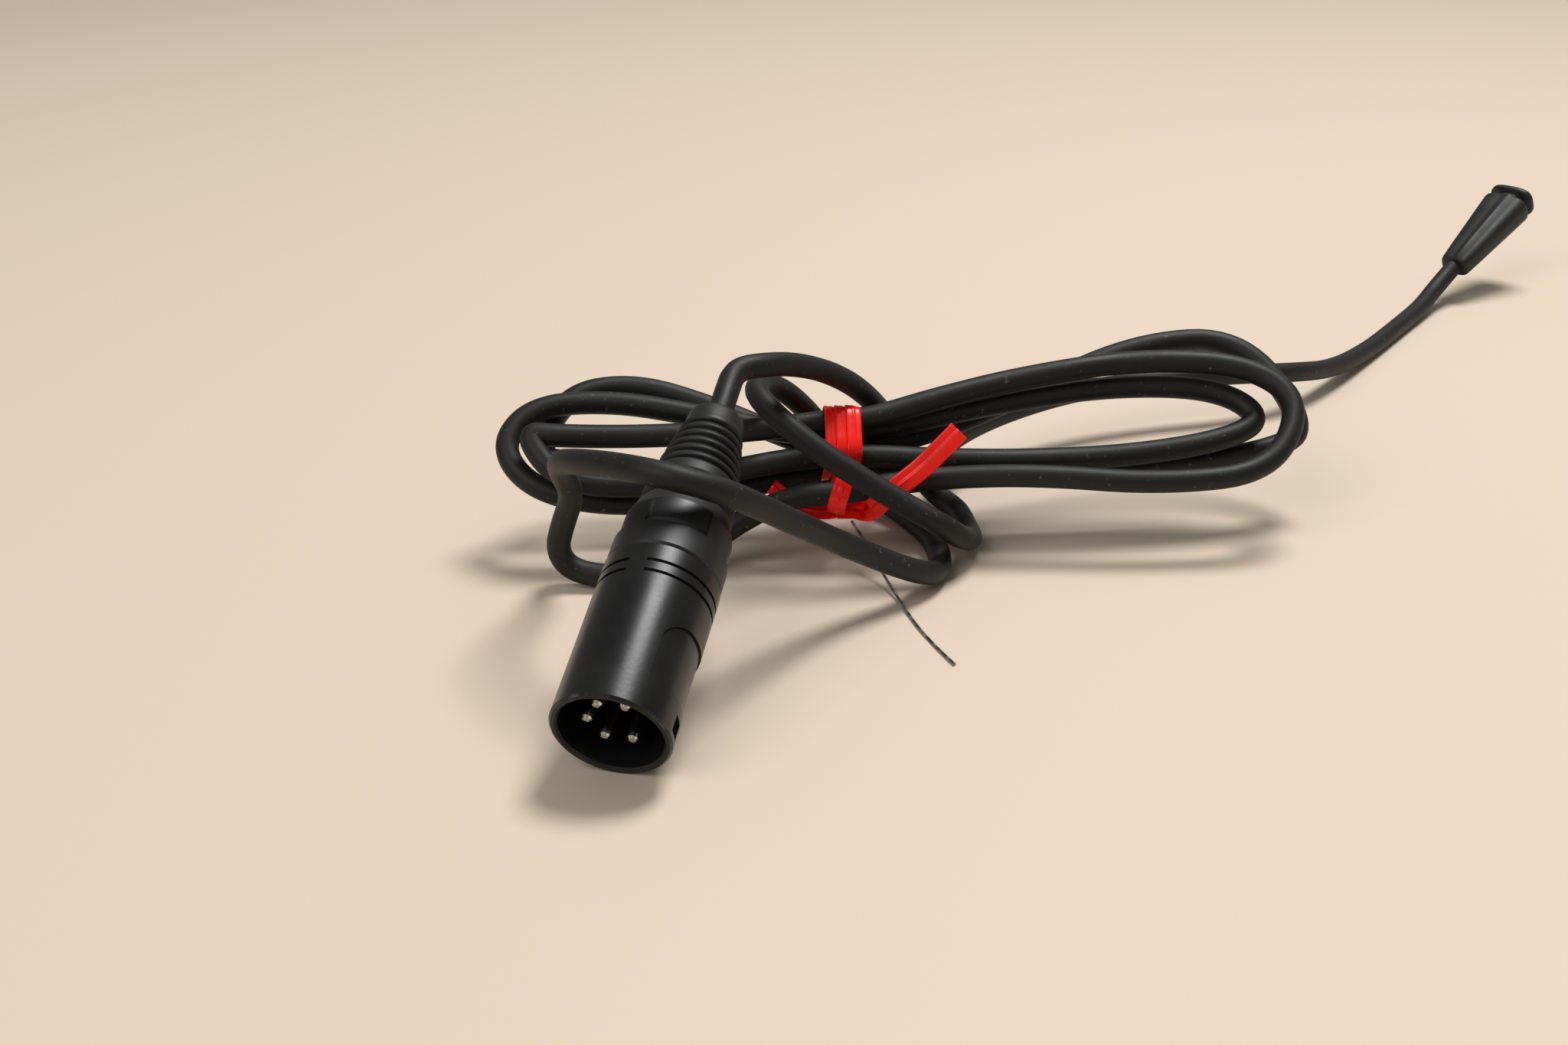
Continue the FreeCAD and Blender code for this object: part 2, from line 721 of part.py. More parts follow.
def pipe_along(curves, diameter):
    """A round cable swept along a smooth path, and the path's length."""
    path = Part.Wire([curve.toShape() for curve in curves])
    first = path.Edges[0]
    way = first.tangentAt(first.FirstParameter)
    circle = Part.Circle(first.valueAt(first.FirstParameter), way, diameter / 2)
    section = Part.Wire([circle.toShape()])
    return path.makePipeShell([section], True, False), path.Length


def report_tube(name, shape, length, diameter):
    expected = pi * diameter * diameter / 4 * length
    print(f"{name}: length {length:.1f}, volume {shape.Volume:.0f}, section x length {expected:.0f}")


# Hank: turns with a waist at the tie, a formula gives any place on them
def waist_axes():
    heading = radians(size("hank_heading"))
    lean = radians(size("hank_lean"))
    along = Vector(cos(heading), sin(heading), 0)
    behind = Vector(-sin(heading), cos(heading), 0)
    rise = behind * cos(lean) + Vector(0, 0, sin(lean))
    stack = behind * -sin(lean) + Vector(0, 0, cos(lean))
    return along, behind, rise, stack


def waist_centre():
    return Vector(size("waist_across"), size("waist_back"), size("waist_height"))


def hank_place(turns):
    """A place on the hank, counted in turns from the waist's underside and going right."""
    along, behind, rise, stack = waist_axes()
    number = min(int(turns + 1e-9), int(size("hank_turns")) - 1)
    angle = 2 * pi * (turns - number) - pi / 2
    forward = cos(angle)
    if forward >= 0:
        reach, up, down = RIGHT_REACH, RIGHT_RISE, RIGHT_DROP
    else:
        reach, up, down = LEFT_REACH, LEFT_RISE, LEFT_DROP
    opening = up if sin(angle) >= 0 else down
    fullness = abs(forward)
    past_waist = max(0.0, fullness - size("waist_share")) / (1 - size("waist_share"))
    most_rise = opening[number] * size("strand_opening")
    rise_here = (size("strand_rise")
                 + (most_rise - size("strand_rise")) * past_waist ** OPENING_POWER[number])
    stack_here = size("strand_pitch") * (size("hank_turns") / 2 - turns)
    settle = max(0.0, 1 - turns / size("first_strand_share")) ** 2
    return (waist_centre()
            + along * (reach[number] * forward)
            + rise * (rise_here * sin(angle))
            + stack * stack_here
            + Vector(0, 0, size("end_lift") * fullness ** 2)
            - behind * (size("first_strand_front") * settle)
            - Vector(0, 0, size("first_strand_drop") * settle))


def hank_way(turns):
    """The heading of the cable at a place on the hank."""
    step = 1e-4
    last = size("hank_turns")
    before = hank_place(max(0.0, turns - step))
    after = hank_place(min(last, turns + step))
    way = after - before
    return way.normalize()


STATIONS_PER_TURN = 8
HANK_STATIONS = [n / STATIONS_PER_TURN for n in range(int(size("hank_turns")) * STATIONS_PER_TURN + 1)]


def make_hank():
    diameter = size("cable_diameter")
    places = [hank_place(turns) for turns in HANK_STATIONS]
    ways = [hank_way(turns) for turns in HANK_STATIONS]
    curves = [Part.LineSegment(places[0] - ways[0] * diameter, places[0])]
    for i in range(len(places) - 1):
        curves += biarc(places[i], ways[i], places[i + 1], ways[i + 1])
    curves.append(Part.LineSegment(places[-1], places[-1] + ways[-1] * diameter))
    shape, length = pipe_along(curves, diameter)
    report_tube("cable_hank", shape, length, diameter)
    bends = [curve.toShape().Curve.Radius for curve in curves if isinstance(curve, Part.Arc)]
    print(f"cable_hank: least bend radius {min(bends):.1f}")
    print(f"cable_hank: least gap to itself {least_gap(curves, diameter):.2f}")
    hank = doc.addObject("Part::Feature", "CableHank")
    hank.Shape = shape
    return keep(hank, "cable_hank")


def least_gap(curves, diameter):
    """The least gap between stretches of a path that are over three diameters apart on it."""
    points = []
    travelled = 0.0
    for curve in curves:
        edge = curve.toShape()
        steps = max(1, int(edge.Length / 1.5))
        for step in range(steps):
            share = step / steps
            span = edge.LastParameter - edge.FirstParameter
            points.append((travelled + edge.Length * share, edge.valueAt(edge.FirstParameter + span * share)))
        travelled += edge.Length
    least = min(
        (here[1] - there[1]).Length
        for i, here in enumerate(points)
        for there in points[i + 1:]
        if there[0] - here[0] > 3 * diameter)
    return least - diameter


def make_cable(object_name, label, points):
    diameter = size("cable_diameter")
    curves, radii = rounded_route(points)
    shape, length = pipe_along(curves, diameter)
    report_tube(label, shape, length, diameter)
    print(f"{label}: bend radii {', '.join(f'{radius:.1f}' for radius in radii)}")
    cable = doc.addObject("Part::Feature", object_name)
    cable.Shape = shape
    return keep(cable, label)


def make_cables():
    plug = plug_placement()
    axis = plug.Rotation.multVec(Vector(0, 0, 1))
    diameter = size("cable_diameter")
    jacket_start = height_of(CHUCK_FRONT) + size("chuck_sleeve_length")
    jacket_end = jacket_start + size("cable_straight_length")
    start = plug.multVec(Vector(0, 0, jacket_start))
    end = plug.multVec(Vector(0, 0, jacket_end))
    straight = doc.addObject("Part::Cylinder", "CableInPlug")
    straight.setExpression("Radius", formula("cable_diameter / 2"))
    straight.setExpression("Height", formula("cable_straight_length"))
    straight.Placement = Placement(start, plug.Rotation)
    keep(straight, "cable_in_plug")
    hank_start = hank_place(0.0) - hank_way(0.0) * diameter
    hank_end = hank_place(size("hank_turns")) + hank_way(size("hank_turns")) * diameter
    points = [end, end + axis * 6.5]
    points += [Vector(*point) for point in PLUG_CABLE_POINTS]
    points += [hank_start - hank_way(0.0) * 6.5, hank_start]
    make_cable("PlugCable", "cable_from_plug", points)
    make_hank()
    heading = Vector(*RELIEF_HEADING)
    heading.normalize()
    points = [hank_end, hank_end + hank_way(size("hank_turns")) * 8.5]
    points += [Vector(*point) for point in LEAD_OUT_POINTS]
    points += [Vector(*RELIEF_SEAT) - heading * 8.5, Vector(*RELIEF_SEAT)]
    make_cable("LeadOutCable", "cable_lead_out", points)
    return points[-1], heading


relief_seat, relief_heading = make_cables()


# Cores: from the cable's end to the solder cups
def make_core(number):
    angle = radians(pin_angle(number))
    start_height = height_of(CHUCK_FRONT) + size("chuck_sleeve_length")
    cup_floor = height_of(f"{TAIL_BACK} + cup_length - cup_bore_depth")
    outward = Vector(cos(angle), sin(angle), 0)
    start = outward * size("core_circle_radius") + Vector(0, 0, start_height)
    end = outward * size("pin_circle_radius") + Vector(0, 0, cup_floor + size("core_end_gap"))
    way = Vector(0, 0, -1)
    curves = biarc(start, way, end, way)
    shape, length = pipe_along(curves, size("core_diameter"))
    core = doc.addObject("Part::Feature", f"Core{number + 1}")
    core.Shape = shape
    core.Placement = plug_placement()
    return keep(core, f"core_{number + 1}")


for core_number in range(int(size("pin_count"))):
    make_core(core_number)


# Strain relief at the far end: a flattened wedge with a ridge, then a neck and flange
def rounded_section(width, height, centre, across, upward, ridge=0.0):
    """A section with cut corners and, on top, a ridge along its middle."""
    cut = min(width, height) * 0.28
    half_width = width / 2
    half_height = height / 2
    ridge_half = size("relief_ridge_width") / 2
    corners = [
        (-half_width, -half_height + cut), (-half_width + cut, -half_height),
        (half_width - cut, -half_height), (half_width, -half_height + cut),
        (half_width, half_height - cut), (half_width - cut, half_height),
        (ridge_half, half_height + ridge * 0.2), (ridge_half * 0.6, half_height + ridge),
        (-ridge_half * 0.6, half_height + ridge), (-ridge_half, half_height + ridge * 0.2),
        (-half_width + cut, half_height), (-half_width, half_height - cut),
    ]
    places = [centre + across * x + upward * z for x, z in corners]
    return Part.makePolygon(places + [places[0]])


def make_relief():
    across = relief_heading.cross(Vector(0, 0, 1)).normalize()
    upward = across.cross(relief_heading)
    front = relief_seat
    back = front + relief_heading * size("relief_length")
    ridge = size("relief_ridge_height")
    wedge = Part.makeLoft([
        rounded_section(size("relief_front_width"), size("relief_front_height"), front,
                        across, upward, ridge * 0.6),
        rounded_section(size("relief_back_width"), size("relief_back_height"), back,
                        across, upward, ridge),
    ], True, True)
    neck_side = size("relief_neck_width")
    neck_end = back + relief_heading * size("relief_neck_length")
    neck = Part.Face(rounded_section(neck_side, neck_side, back, across, upward, 0.1)).extrude(
        relief_heading * size("relief_neck_length"))
    flange = Part.Face(rounded_section(
        size("relief_flange_width"), size("relief_flange_height"), neck_end, across, upward,
        0.1)).extrude(relief_heading * size("relief_flange_thickness"))
    relief = doc.addObject("Part::Feature", "FarStrainRelief")
    relief.Shape = wedge.fuse([neck, flange]).removeSplitter()
    return keep(relief, "far_strain_relief")


make_relief()


# Twist tie: a flat ribbon with a wire ridge, wound round the bundle, knotted below it in
# front, with two tails and the bare end of its wire
def ribbon_section(width, centre, across, outward):
    half_width = width / 2
    half_thick = size("tie_thickness") / 2
    ridge = size("tie_ridge") / 2
    corners = [
        (-half_width, -half_thick), (half_width, -half_thick), (half_width, half_thick),
        (ridge, half_thick), (ridge * 0.5, ridge), (-ridge * 0.5, ridge), (-ridge, half_thick),
        (-half_width, half_thick),
    ]
    places = [centre + across * x + outward * z for x, z in corners]
    return Part.makePolygon(places + [places[0]])


def make_tie_wrap():
    along, behind, rise, stack = waist_axes()
    reach = size("cable_diameter") / 2 + size("tie_thickness") / 2 + size("tie_slack")
    half_rise = size("strand_rise") + reach
    low = -size("strand_pitch") * 1.5 - reach
    high = size("strand_pitch") + reach
    middle = (low + high) / 2
    half_stack = (high - low) / 2
    power = 6
    sections = []
    steps = 24
    turns = size("tie_turns")
    for step in range(int(steps * turns) + 1):
        angle = 2 * pi * step / steps - pi / 2
        wide = cos(angle)
        tall = sin(angle)
        square = (abs(wide) ** power + abs(tall) ** power) ** (-1 / power)
        place = (waist_centre() + along * (size("tie_pitch") * (step / steps - turns / 2))
                 + rise * (half_rise * square * tall)
                 + stack * (middle + half_stack * square * wide))
        outward = (rise * (abs(tall) ** (power - 1) * (1 if tall > 0 else -1) / half_rise)
                   + stack * (abs(wide) ** (power - 1) * (1 if wide > 0 else -1) / half_stack))
        sections.append(ribbon_section(size("tie_wrap_width"), place, along, outward.normalize()))
    wrap = doc.addObject("Part::Feature", "TieWrap")
    wrap.Shape = Part.makeLoft(sections, True, True)
    return keep(wrap, "tie_wrap")


def smooth_between(points, steps):
    """Points on a smooth curve through the given ones, with steps of it in each span."""
    ends = [points[0] * 2 - points[1]] + points + [points[-1] * 2 - points[-2]]
    found = []
    for i in range(1, len(ends) - 2):
        before, here, there, after = ends[i - 1:i + 3]
        for step in range(steps):
            t = step / steps
            found.append(
                (here * 2 + (there - before) * t
                 + (before * 2 - here * 5 + there * 4 - after) * t ** 2
                 + (here * 3 - before - there * 3 + after) * t ** 3) * 0.5)
    return found + [points[-1]]


def make_ribbon(object_name, label, stations):
    """A ribbon through places, each with the way that its ridge faces."""
    centres = smooth_between([Vector(*place) for place, facing in stations], 3)
    facings = smooth_between([Vector(*facing) for place, facing in stations], 3)
    sections = []
    for i, centre in enumerate(centres):
        way = centres[min(i + 1, len(centres) - 1)] - centres[max(i - 1, 0)]
        across = facings[i].cross(way).normalize()
        outward = way.cross(across).normalize()
        sections.append(ribbon_section(size("tie_tail_width"), centre, across, outward))
    ribbon = doc.addObject("Part::Feature", object_name)
    ribbon.Shape = Part.makeLoft(sections, True, True)
    return keep(ribbon, label)


def make_tie_wire():
    points = [Vector(*point) for point in TIE_WIRE_POINTS]
    curves, radii = rounded_route(points)
    shape, length = pipe_along(curves, size("tie_wire_diameter"))
    wire = doc.addObject("Part::Feature", "TieWire")
    wire.Shape = shape
    return keep(wire, "tie_wire")


TIE_KNOT = (
    ((15.7, 61.2, 17.8), (0.26, -0.75, 0.6)),
    ((14.9, 61.0, 15.6), (0.2, -0.9, 0.4)),
    ((14.5, 60.9, 13.2), (0.1, -0.95, 0.1)),
    ((14.8, 61.5, 11.2), (0.5, -0.8, -0.2)),
    ((15.2, 62.6, 9.6), (0.3, -0.6, -0.6)),
)
TIE_TAIL_RIGHT = (
    ((15.4, 62.7, 8.7), (0.1, -0.7, 0.7)),
    ((17.6, 62.6, 9.0), (0.1, -0.7, 0.7)),
    ((19.9, 60.6, 9.7), (0.2, -0.8, 0.5)),
    ((21.7, 58.1, 11.1), (0.3, -0.9, 0.4)),
    ((23.3, 56.6, 13.1), (0.2, -0.9, 0.4)),
    ((25.1, 56.5, 15.1), (0.17, -0.91, 0.37)),
    ((27.4, 58.1, 16.9), (0.17, -0.91, 0.37)),
    ((30.6, 59.8, 19.6), (0.17, -0.91, 0.37)),
    ((33.8, 60.9, 23.1), (0.17, -0.91, 0.37)),
    ((36.7, 61.9, 26.4), (0.17, -0.91, 0.37)),
)
TIE_TAIL_LEFT = (
    ((14.8, 62.8, 8.7), (0.1, -0.7, 0.7)),
    ((12.5, 61.9, 8.3), (0.1, -0.6, 0.8)),
    ((9.9, 60.6, 8.7), (0.1, -0.6, 0.8)),
    ((7.4, 59.7, 9.8), (0.1, -0.6, 0.8)),
    ((5.0, 59.6, 11.5), (0.1, -0.5, 0.85)),
    ((2.6, 59.5, 13.4), (0.1, -0.5, 0.85)),
)
TIE_WIRE_POINTS = (
    (17.5, 60.9, 7.2),
    (19.0, 58.9, 6.4),
    (21.2, 56.6, 5.0),
    (25.6, 50.5, 1.8),
    (29.4, 44.2, 0.5),
    (35.0, 33.5, 0.3),
    (39.4, 26.6, 0.3),
    (43.3, 21.1, 0.4),
)

make_tie_wrap()
make_ribbon("TieKnot", "tie_knot", TIE_KNOT)
make_ribbon("TieTailRight", "tie_tail_right", TIE_TAIL_RIGHT)
make_ribbon("TieTailLeft", "tie_tail_left", TIE_TAIL_LEFT)
make_tie_wire()
doc.recompute()


# Check every sub-part and write it
faults = [item.Name for item in doc.Objects if "Invalid" in item.State or "Error" in item.State]
for part in PARTS:
    if part.Shape.isNull() or not part.Shape.isValid() or part.Shape.Volume <= 0:
        faults.append(part.Label)
if faults:
    raise RuntimeError("faulty objects: " + ", ".join(faults))
os.makedirs("parts", exist_ok=True)
for part in PARTS:
    part.Shape.exportStep(os.path.join("parts", part.Label + ".step"))
    box = part.Shape.BoundBox
    print(f"{part.Label}: {len(part.Shape.Solids)} solid, volume {part.Shape.Volume:.1f}, "
          f"x {box.XMin:.1f} {box.XMax:.1f}, y {box.YMin:.1f} {box.YMax:.1f}, z {box.ZMin:.2f} {box.ZMax:.2f}")
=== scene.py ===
from math import cos, exp, pi, radians, sin

import bpy
from mathutils import Matrix, Vector


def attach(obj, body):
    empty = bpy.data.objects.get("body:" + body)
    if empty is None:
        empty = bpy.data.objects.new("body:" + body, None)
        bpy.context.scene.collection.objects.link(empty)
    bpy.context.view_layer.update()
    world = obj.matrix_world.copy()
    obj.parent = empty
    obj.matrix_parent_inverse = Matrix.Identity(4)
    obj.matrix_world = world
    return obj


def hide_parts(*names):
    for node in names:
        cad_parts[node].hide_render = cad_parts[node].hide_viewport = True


# A headset lead: round five-pin plug, cable tied up as a hank, strain relief at the far end.
# Sizes in the comments are millimetres; Blender works in metres, in the row's own frame.

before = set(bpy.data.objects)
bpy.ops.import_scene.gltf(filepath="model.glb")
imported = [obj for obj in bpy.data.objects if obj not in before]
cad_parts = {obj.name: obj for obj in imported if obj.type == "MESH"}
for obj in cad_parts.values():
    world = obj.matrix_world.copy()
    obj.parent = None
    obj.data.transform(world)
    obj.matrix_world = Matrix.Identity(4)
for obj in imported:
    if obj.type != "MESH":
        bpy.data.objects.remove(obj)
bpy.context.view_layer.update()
MM = 0.001


def mm(*numbers):
    """A point or a direction given in millimetres."""
    return Vector(numbers) * MM


# Camera: a lens of about 47 mm on a 36 mm frame, 156 mm above the table
def make_camera():
    data = bpy.data.cameras.new("photo_camera")
    data.sensor_width = 36.0
    data.lens = 47.46
    data.clip_start = 0.01
    camera = bpy.data.objects.new("photo_camera", data)
    bpy.context.scene.collection.objects.link(camera)
    forward = Vector((-0.2149, 0.8951, -0.3907)).normalized()
    right = Vector((cos(radians(13.5)), sin(radians(13.5)), 0.0))
    up = right.cross(forward)
    turn = Matrix((right, up, -forward)).transposed().to_4x4()
    camera.matrix_world = Matrix.Translation(mm(87.4, -283.9, 156.2)) @ turn
    bpy.context.scene.camera = camera


make_camera()


# Cable: one cord from the boot, round the bundle, over and under the plug, through the
# hank and away along the table to the strain relief
CABLE_DIAMETER = 4.3
PLUG_TILT = radians(24.0)
RIM = Vector((0.0, -29.55, 8.536))
PLUG_WAY = Vector((0.0, cos(PLUG_TILT), sin(PLUG_TILT)))
PLUG_UP = Vector((0.0, -sin(PLUG_TILT), cos(PLUG_TILT)))
PLUG_SIDE = Vector((1.0, 0.0, 0.0))
BOOT_END = 67.1
STRAIGHT_OUT = (73.3, 80.0)
JACKET_PROUD = 0.01


def on_plug(along):
    """A point on the plug's axis, so far behind its rim."""
    return RIM + PLUG_WAY * along


# Out of the boot, a loop over and round the hank, across the plug's top, down and under it
FROM_PLUG = [
    (4.0, 47.5, 41.0), (8.0, 56.5, 38.5), (12.5, 66.0, 34.0), (16.5, 75.5, 27.5),
    (19.5, 84.5, 19.0), (22.5, 90.0, 9.0), (28.0, 89.0, 2.8), (34.0, 83.0, 2.2),
    (36.8, 75.0, 2.2), (39.3, 66.5, 3.4), (38.3, 58.5, 7.0), (35.0, 54.5, 11.0),
    (28.0, 53.5, 15.0), (20.0, 52.0, 20.0), (12.5, 51.0, 25.0), (5.5, 52.5, 29.5),
    (0.0, 57.5, 32.0), (-1.0, 65.0, 31.5), (1.5, 72.5, 28.0), (5.5, 79.0, 21.0),
    (10.0, 84.0, 12.0), (16.0, 84.5, 4.0), (23.0, 79.5, 2.2), (30.0, 71.0, 2.2),
    (34.0, 61.5, 2.2), (35.4, 53.4, 2.2), (33.0, 45.5, 5.0), (22.5, 34.0, 14.0),
    (15.0, 18.5, 25.0), (9.0, 4.5, 34.6), (0.0, 0.5, 38.2), (-9.0, 4.5, 37.4),
    (-17.5, 10.5, 35.0), (-23.2, 17.0, 32.0), (-25.6, 25.0, 26.5), (-26.2, 32.0, 20.0),
    (-29.6, 35.0, 12.5), (-31.2, 35.8, 7.0), (-28.6, 36.3, 3.2), (-22.0, 37.2, 2.2),
    (-15.0, 39.8, 2.2), (-8.0, 46.0, 4.5), (-2.0, 53.0, 8.5), (7.0, 55.3, 13.3),
]
# Out from under the hank's right half and along the table to the strain relief
TO_RELIEF = [
    (24.2, 77.0, 10.5), (28.5, 86.5, 10.2), (29.0, 98.5, 10.2), (36.5, 115.5, 10.3),
    (50.0, 131.5, 11.0), (66.0, 143.5, 11.0), (82.0, 152.0, 10.6), (95.5, 161.5, 9.0),
    (104.5, 180.0, 4.4), (113.0, 203.0, 2.2), (121.0, 225.5, 2.2), (126.5, 240.5, 2.6),
]
RELIEF_SEAT = Vector((134.7, 257.5, 9.0))
RELIEF_WAY = Vector((0.497, 0.738, 0.457)).normalized()
RELIEF_APPROACH = 8.5
RELIEF_ENTRY = 2.0

# Hank: three turns through the waist that the tie holds, on a plane that leans back
WAIST = Vector((13.3, 69.6, 18.0))
BUNDLE_HEADING = radians(19.5)
BUNDLE_LEAN = radians(40.0)
BUNDLE_WAY = Vector((cos(BUNDLE_HEADING), sin(BUNDLE_HEADING), 0.0))
BUNDLE_BACK = Vector((-sin(BUNDLE_HEADING), cos(BUNDLE_HEADING), 0.0))
BUNDLE_RISE = BUNDLE_BACK * cos(BUNDLE_LEAN) + Vector((0.0, 0.0, sin(BUNDLE_LEAN)))
BUNDLE_STACK = BUNDLE_BACK * -sin(BUNDLE_LEAN) + Vector((0.0, 0.0, cos(BUNDLE_LEAN)))
TURNS = 3
STRAND_PITCH = 5.1
STRAND_RISE = 3.0
OPENING_SPREAD = 2.2
WAIST_SHARE = 0.06
# The hank's start comes up from the table in front of the bundle
SETTLE_TURNS = 0.22
SETTLE_DROP = 8.0
SETTLE_FORWARD = 4.5
# How fast a turn's end passes from one opening to the other, slow enough to leave no kink
END_BLEND = 1.25
# Points are crowded towards the turns' ends, where the cable bends most
HANK_POINTS_PER_TURN = 24
HANK_CROWDING = 0.75
# Each turn's reach from the waist, how far it opens above and below, how late it opens on the
# way out, and how much the end is lifted
RIGHT = {
    "reach": (87.0, 81.0, 91.5),
    "above": (10.8, 8.6, 27.5),
    "below": (18.2, 4.8, 4.8),
    "power_above": (0.9, 0.95, 1.7),
    "power_below": (2.2, 0.85, 0.85),
    "lift": 2.4,
}
LEFT = {
    "reach": (58.5, 63.2, 56.5),
    "above": (-0.6, 10.7, 16.8),
    "below": (11.3, 10.1, -1.0),
    "power_above": (0.80, 1.33, 1.15),
    "power_below": (1.67, 1.15, 2.75),
    "lift": 3.4,
}


def on_hank(turns):
    """A point on the hank, counted in turns from the waist's underside and going right."""
    number = min(int(turns + 1e-9), TURNS - 1)
    angle = 2 * pi * (turns - number) - pi / 2
    side = RIGHT if cos(angle) >= 0 else LEFT
    share = min(1.0, max(0.0, 0.5 + END_BLEND * sin(angle)))
    share = share * share * (3 - 2 * share)
    opening, power = (
        side[below][number] * (1 - share) + side[above][number] * share
        for below, above in (("below", "above"), ("power_below", "power_above")))
    fullness = abs(cos(angle))
    past_waist = max(0.0, fullness - WAIST_SHARE) / (1 - WAIST_SHARE)
    rise = STRAND_RISE + (opening * OPENING_SPREAD - STRAND_RISE) * past_waist ** power
    settle = max(0.0, 1 - turns / SETTLE_TURNS) ** 2
    return (
        WAIST
        + BUNDLE_WAY * (side["reach"][number] * cos(angle))
        + BUNDLE_RISE * (rise * sin(angle))
        + BUNDLE_STACK * (STRAND_PITCH * (TURNS / 2 - turns))
        + Vector((0.0, 0.0, side["lift"] * fullness ** 2 - SETTLE_DROP * settle))
        - BUNDLE_BACK * (SETTLE_FORWARD * settle)
    )


def make_cable():
    points = [on_plug(BOOT_END - 1.0)] + [on_plug(along) for along in STRAIGHT_OUT]
    points += [Vector(point) for point in FROM_PLUG]
    steps = HANK_POINTS_PER_TURN * TURNS
    for step in range(steps + 1):
        turns = step / HANK_POINTS_PER_TURN
        points.append(on_hank(turns - HANK_CROWDING * sin(4 * pi * turns) / (4 * pi)))
    points += [Vector(point) for point in TO_RELIEF]
    points += [RELIEF_SEAT - RELIEF_WAY * RELIEF_APPROACH, RELIEF_SEAT + RELIEF_WAY * RELIEF_ENTRY]
    curve = bpy.data.curves.new("lead_cable", "CURVE")
    curve.dimensions = "3D"
    spline = curve.splines.new("NURBS")
    spline.points.add(len(points) - 1)
    for place, point in zip(spline.points, points):
        place.co = (*(point * MM), 1.0)
        place.radius = (CABLE_DIAMETER / 2 + JACKET_PROUD) * MM
    spline.order_u = 3
    spline.use_endpoint_u = True
    curve.resolution_u = 10
    # The points carry the tube's radius, so the curve's own box is no thicker than the tube
    curve.bevel_depth = 1.0
    curve.bevel_resolution = 6
    curve.use_fill_caps = True
    cable = bpy.data.objects.new("lead_cable", curve)
    bpy.context.scene.collection.objects.link(cable)
    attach(cable, "lead")
    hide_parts("cable_from_plug", "cable_hank", "cable_lead_out")
    return cable


lead_cable = make_cable()


# Meshes from rings of points
def new_piece(name, vertices, faces, body):
    mesh = bpy.data.meshes.new(name)
    mesh.from_pydata([tuple(v * MM) for v in vertices], [], faces)
    mesh.validate()
    piece = bpy.data.objects.new(name, mesh)
    bpy.context.scene.collection.objects.link(piece)
    for face in mesh.polygons:
        face.use_smooth = True
    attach(piece, body)
    return piece


def skin(rings, closed_ends=True):
    """Faces over a stack of rings that have the same number of points."""
    count = len(rings[0])
    vertices = [point for ring in rings for point in ring]
    faces = []
    for level in range(len(rings) - 1):
        for i in range(count):
            j = (i + 1) % count
            low, high = level * count, (level + 1) * count
            faces.append((low + i, low + j, high + j, high + i))
    if closed_ends:
        faces.append(tuple(reversed(range(count))))
        faces.append(tuple(range((len(rings) - 1) * count, len(rings) * count)))
    return vertices, faces


def lathe(name, outline, body, sides=128):
    """A closed ring-shaped piece turned about the plug's axis from (along, radius) points."""
    rings = []
    for along, radius in outline + outline[:1]:
        rings.append([
            on_plug(along) + (PLUG_SIDE * cos(a) + PLUG_UP * sin(a)) * radius
            for a in (2 * pi * side / sides for side in range(sides))
        ])
    vertices, faces = skin(rings, closed_ends=False)
    return new_piece(name, vertices, faces, body)


def smooth_between(points, steps):
    """Points on a smooth curve through the given ones, with steps of it in each span."""
    ends = [points[0] * 2 - points[1]] + points + [points[-1] * 2 - points[-2]]
    found = []
    for i in range(1, len(ends) - 2):
        before, here, there, after = ends[i - 1:i + 3]
        for step in range(steps):
            t = step / steps
            found.append((
                here * 2 + (there - before) * t
                + (before * 2 - here * 5 + there * 4 - after) * t ** 2
                + (here * 3 - before - there * 3 + after) * t ** 3) * 0.5)
    return found + [points[-1]]


# Twist tie: flat ribbon of soft PVC over a thin steel wire that shows as a ridge
TIE_THICKNESS = 0.36
TIE_RIDGE = 0.32
RIDGE_HALF_WIDTH = 0.26
BACK_SHARE = 0.7
RIBBON_STEPS = 22
TAIL_WIDTH = 4.0
KNOT_WIDTH = 3.4
WRAP_WIDTH = 2.8
WRAP_RIDGE = 0.1
WRAP_SLACK = 0.3
WRAP_PITCH = 2.0
WRAP_SHIFT = 0.4
WRAP_TILT = 0.2
WRAP_SQUARENESS = 6
WRAP_STEPS = 64


def ribbon_ring(width, centre, across, outward, ridge=TIE_RIDGE, tilt=0.0):
    """Outline of the ribbon: thin, with rounded edges and the wire's ridge on both faces."""
    top = []
    for step in range(RIBBON_STEPS + 1):
        x = width * (step / RIBBON_STEPS - 0.5)
        edge = max(0.0, 1 - (abs(x) / (width / 2)) ** 10) ** 0.5
        height = TIE_THICKNESS / 2 * edge + ridge * exp(-(x / RIDGE_HALF_WIDTH) ** 2)
        top.append((x, height))
    bottom = [(x, -height * BACK_SHARE) for x, height in reversed(top)]
    return [centre + across * x + outward * (z - tilt * x) for x, z in top + bottom]


